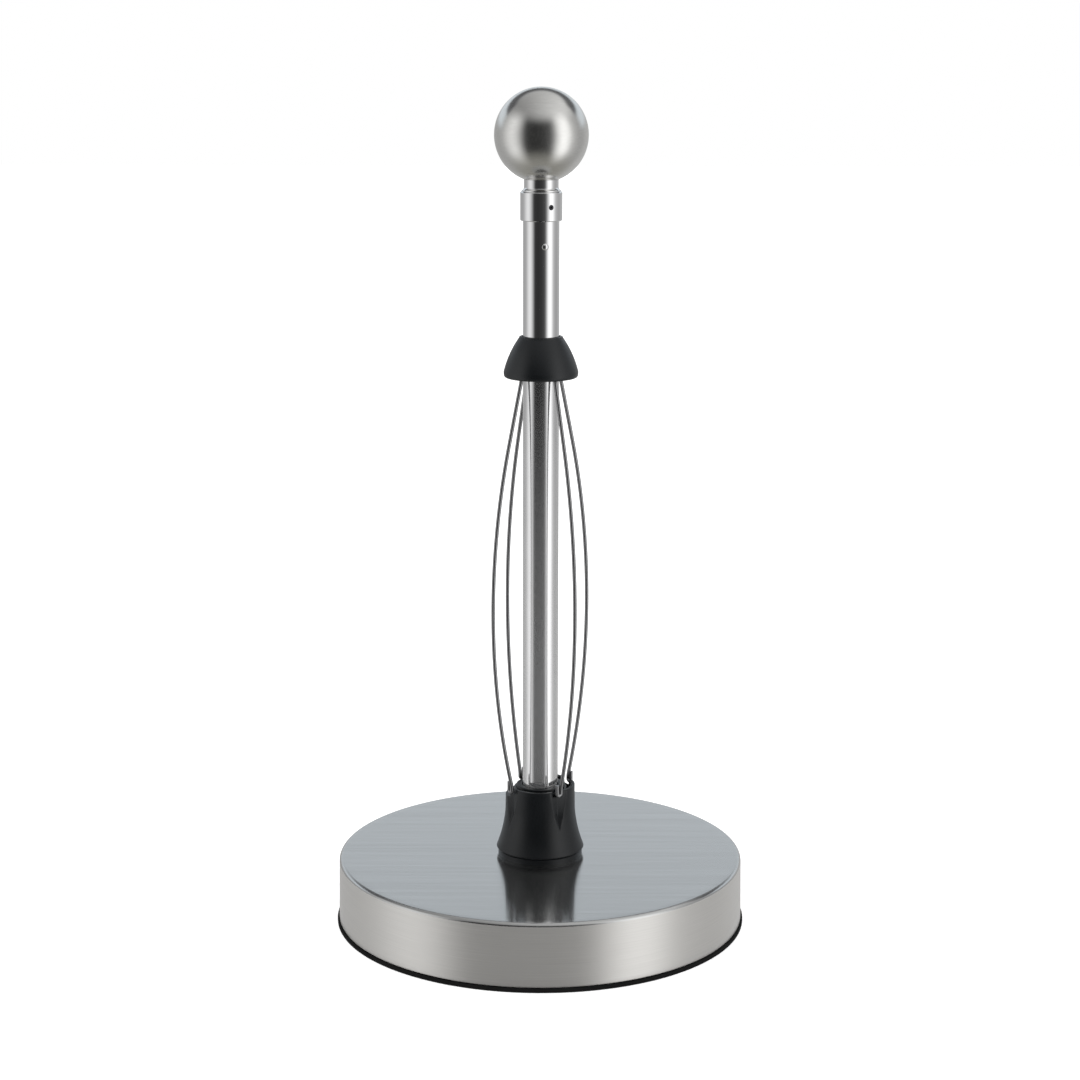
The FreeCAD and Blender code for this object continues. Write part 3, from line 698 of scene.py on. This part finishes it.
def bell_shell():
    """Domed bell with a soft lip, hollow for its insert."""
    inner = POLE_R + CLEARANCE
    lip = 0.3 * MM
    neck_z = BELL_TOP - 0.6 * MM
    profile = arc((inner + lip, BELL_TOP - lip), lip, 180, 90, 4)
    profile += [(BELL_NECK_R - 0.45 * MM, BELL_TOP), (BELL_NECK_R - 0.12 * MM, BELL_TOP - 0.18 * MM)]
    profile += through((BELL_NECK_R, neck_z), BELL_FLANK, (BELL_R, BELL_LOW + 2.4 * MM), 26)
    profile += [(BELL_R - 0.03 * MM, BELL_LOW + 1.5 * MM), (BELL_R - 0.15 * MM, BELL_LOW + 0.75 * MM)]
    profile += [(BELL_R - 0.45 * MM, BELL_LOW + 0.25 * MM), (BELL_R - 0.9 * MM, BELL_LOW)]
    profile += [(BELL_R - BELL_WALL - 0.3 * MM, BELL_LOW), (BELL_R - BELL_WALL, BELL_LOW + 2.4 * MM)]
    profile += INSERT_SEAT + [(inner, BELL_BORE_FOOT)]
    bell = piece("satin_bell", spun(profile, 160), PLASTIC, "bell", crease=40)
    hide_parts("bell_shell")


# ---- studio -------------------------------------------------------------------------------
# Brightness that the steel mirrors, by azimuth in degrees: 0 is behind the camera, + is to the right.
STUDIO_SIDES = [
    (-180, 0.55), (-165, 0.47), (-148, 0.42), (-125, 0.42), (-108, 0.50), (-96, 0.70), (-86, 0.86),
    (-76, 0.95), (-66, 0.84), (-58, 0.62), (-50, 0.34), (-42, 0.09), (-36, 0.04), (-18, 0.033), (4, 0.045),
    (20, 0.08), (27, 0.20), (33, 0.44), (39, 0.80), (46, 1.14), (53, 1.36), (63, 1.34), (72, 1.06),
    (80, 0.72), (88, 0.54), (104, 0.42), (120, 0.42), (135, 0.50), (180, 0.55),
]
BACKDROP = (0.755, 0.81, 0.86)
DARK_STRIP = (0.11, 0.11, 0.115)        # between the backdrop and the ceiling light
CEILING = 0.56
CEILING_LEAN = 0.42         # brighter to the right by this much
NADIR = (0.30, 0.295, 0.27)
SOFT_FILL = (1.02, 1.02, 1.02)
# Where each of them starts and is full, as a share of straight up, of straight down or of depth.
BACKDROP_UP = (0.06, 0.24)
BACKDROP_DEPTH = (0.25, 0.60)
CEILING_UP = (0.40, 0.85)
STRIP_UP = (0.40, 0.50)
STRIP_END = (-0.78, -0.66)
STRIP_DEPTH = (0.25, 0.40)
NADIR_DOWN = (0.45, 1.0)


def set_studio():
    """White to the camera, even light on matt finishes, and the studio below in the mirrors."""
    scene = bpy.context.scene
    scene.view_settings.view_transform = "Standard"
    scene.view_settings.look = "None"
    world = bpy.data.worlds.new("studio")
    scene.world = world
    world.use_nodes = True
    world.cycles.sampling_method = "NONE"
    nodes = world.node_tree.nodes
    links = world.node_tree.links
    nodes.clear()
    where = nodes.new("ShaderNodeTexCoord")
    split = nodes.new("ShaderNodeSeparateXYZ")
    links.new(where.outputs["Generated"], split.inputs[0])

    def math_node(operation, first, second=None):
        node = nodes.new("ShaderNodeMath")
        node.operation = operation
        for socket, value in zip(node.inputs, (first, second)):
            if value is None:
                continue
            if isinstance(value, (int, float)):
                socket.default_value = value
            else:
                links.new(value, socket)
        return node.outputs[0]

    def share(value, start, end):
        node = nodes.new("ShaderNodeMapRange")
        node.interpolation_type = "SMOOTHSTEP"
        node.inputs["From Min"].default_value = start
        node.inputs["From Max"].default_value = end
        links.new(value, node.inputs["Value"])
        return node.outputs["Result"]

    def mix(factor, first, second):
        node = nodes.new("ShaderNodeMix")
        node.data_type = "RGBA"
        links.new(factor, node.inputs["Factor"])
        for socket, value in ((node.inputs[6], first), (node.inputs[7], second)):
            if isinstance(value, tuple):
                socket.default_value = (*value, 1)
            else:
                links.new(value, socket)
        return node.outputs[2]

    turned_x = math_node("ARCTAN2", split.outputs["X"], math_node("MULTIPLY", split.outputs["Y"], -1.0))
    around = math_node("MULTIPLY_ADD", turned_x, 1 / TURN)
    around.node.inputs[2].default_value = 0.5
    sides = nodes.new("ShaderNodeValToRGB")
    ramp = sides.color_ramp
    while len(ramp.elements) < len(STUDIO_SIDES):
        ramp.elements.new(0.5)
    for element, (azimuth, light) in zip(ramp.elements, STUDIO_SIDES):
        element.position = azimuth / 360 + 0.5
        element.color = (light, light, light, 1)
    links.new(around, sides.inputs["Fac"])
    depth = split.outputs["Y"]
    up = split.outputs["Z"]
    down = math_node("MULTIPLY", up, -1.0)
    behind = math_node("MULTIPLY", share(up, *BACKDROP_UP), share(depth, *BACKDROP_DEPTH))
    with_backdrop = mix(behind, sides.outputs["Color"], BACKDROP)
    leaning = math_node("MULTIPLY_ADD", split.outputs["X"], CEILING_LEAN)
    leaning.node.inputs[2].default_value = CEILING
    above = nodes.new("ShaderNodeCombineColor")
    for channel in above.inputs:
        links.new(leaning, channel)
    with_ceiling = mix(share(up, *CEILING_UP), with_backdrop, above.outputs[0])
    strip = math_node("MULTIPLY", share(up, *STRIP_UP), share(depth, *STRIP_DEPTH))
    strip = math_node("MULTIPLY", strip, share(down, *STRIP_END))
    with_strip = mix(strip, with_ceiling, DARK_STRIP)
    with_floor = mix(share(down, *NADIR_DOWN), with_strip, NADIR)
    ray = nodes.new("ShaderNodeLightPath")
    softened = mix(ray.outputs["Is Glossy Ray"], SOFT_FILL, with_floor)
    seen = mix(ray.outputs["Is Camera Ray"], softened, (1.0, 1.0, 1.0))
    background = nodes.new("ShaderNodeBackground")
    links.new(seen, background.inputs["Color"])
    output = nodes.new("ShaderNodeOutputWorld")
    links.new(background.outputs[0], output.inputs["Surface"])


def set_floor():
    """Pale floor that the polished pieces do not mirror."""
    bm = bmesh.new()
    bmesh.ops.create_grid(bm, x_segments=1, y_segments=1, size=6.0)
    mesh = bpy.data.meshes.new("floor")
    bm.to_mesh(mesh)
    bm.free()
    floor = bpy.data.objects.new("floor", mesh)
    bpy.context.scene.collection.objects.link(floor)
    pale = Finish("pale_floor", (0.96, 0.96, 0.96), 0.0, 0.9)
    cloud = pale.noise(pale.place((3, 3, 3)), detail=2)
    pale.tint(cloud, (0.955, 0.955, 0.955), (0.97, 0.97, 0.97))
    pale.shader.inputs["Specular IOR Level"].default_value = 0.0
    pale.shader.inputs["Emission Color"].default_value = (1, 1, 1, 1)
    pale.shader.inputs["Emission Strength"].default_value = 0.5
    mesh.materials.append(pale.material)
    floor.visible_glossy = False


set_camera()
set_studio()
set_floor()
finish_frame_nodes()
base_cover()
base_pad()
pole_tube()
finial_ball()
hub_shell()
hub_cap()
for number, azimuth in enumerate(WIRE_ANGLES, start=1):
    cage_wire(number, azimuth)
bell_shell()
